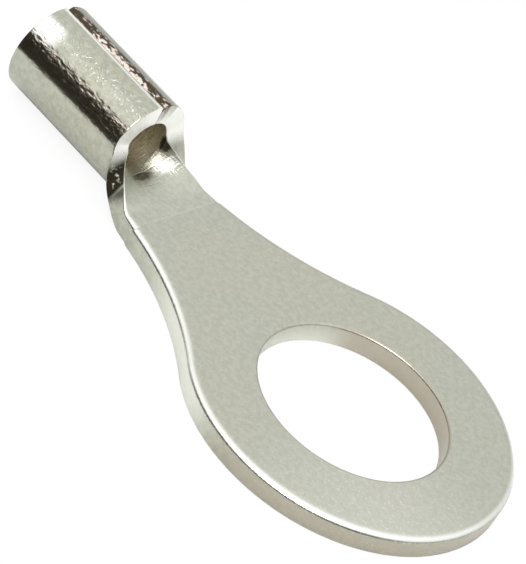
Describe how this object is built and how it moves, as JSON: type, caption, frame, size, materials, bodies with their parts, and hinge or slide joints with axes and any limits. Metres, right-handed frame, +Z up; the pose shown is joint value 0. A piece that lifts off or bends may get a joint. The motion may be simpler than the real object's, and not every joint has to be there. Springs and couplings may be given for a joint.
{
  "type": "ring terminal",
  "caption": "Uninsulated crimp ring terminal: a flat ring with a stud hole, a tapering tongue and a rolled, seamed wire barrel.",
  "frame": {"origin": "centre of the stud hole, on the ring's underside", "axes": "+Z up along the stud hole, out of the ring's upper face; +X from the ring along the tongue to the wire end of the barrel; +Y to the left seen from the ring towards the wire"},
  "size_m": [0.021, 0.011, 0.0033],
  "materials": {
    "tinned_copper": "tin plate over copper sheet: satin, warm light grey, fine grain"
  },
  "bodies": {
    "root": {"ring_terminal": "tinned_copper"}
  },
  "joints": []
}
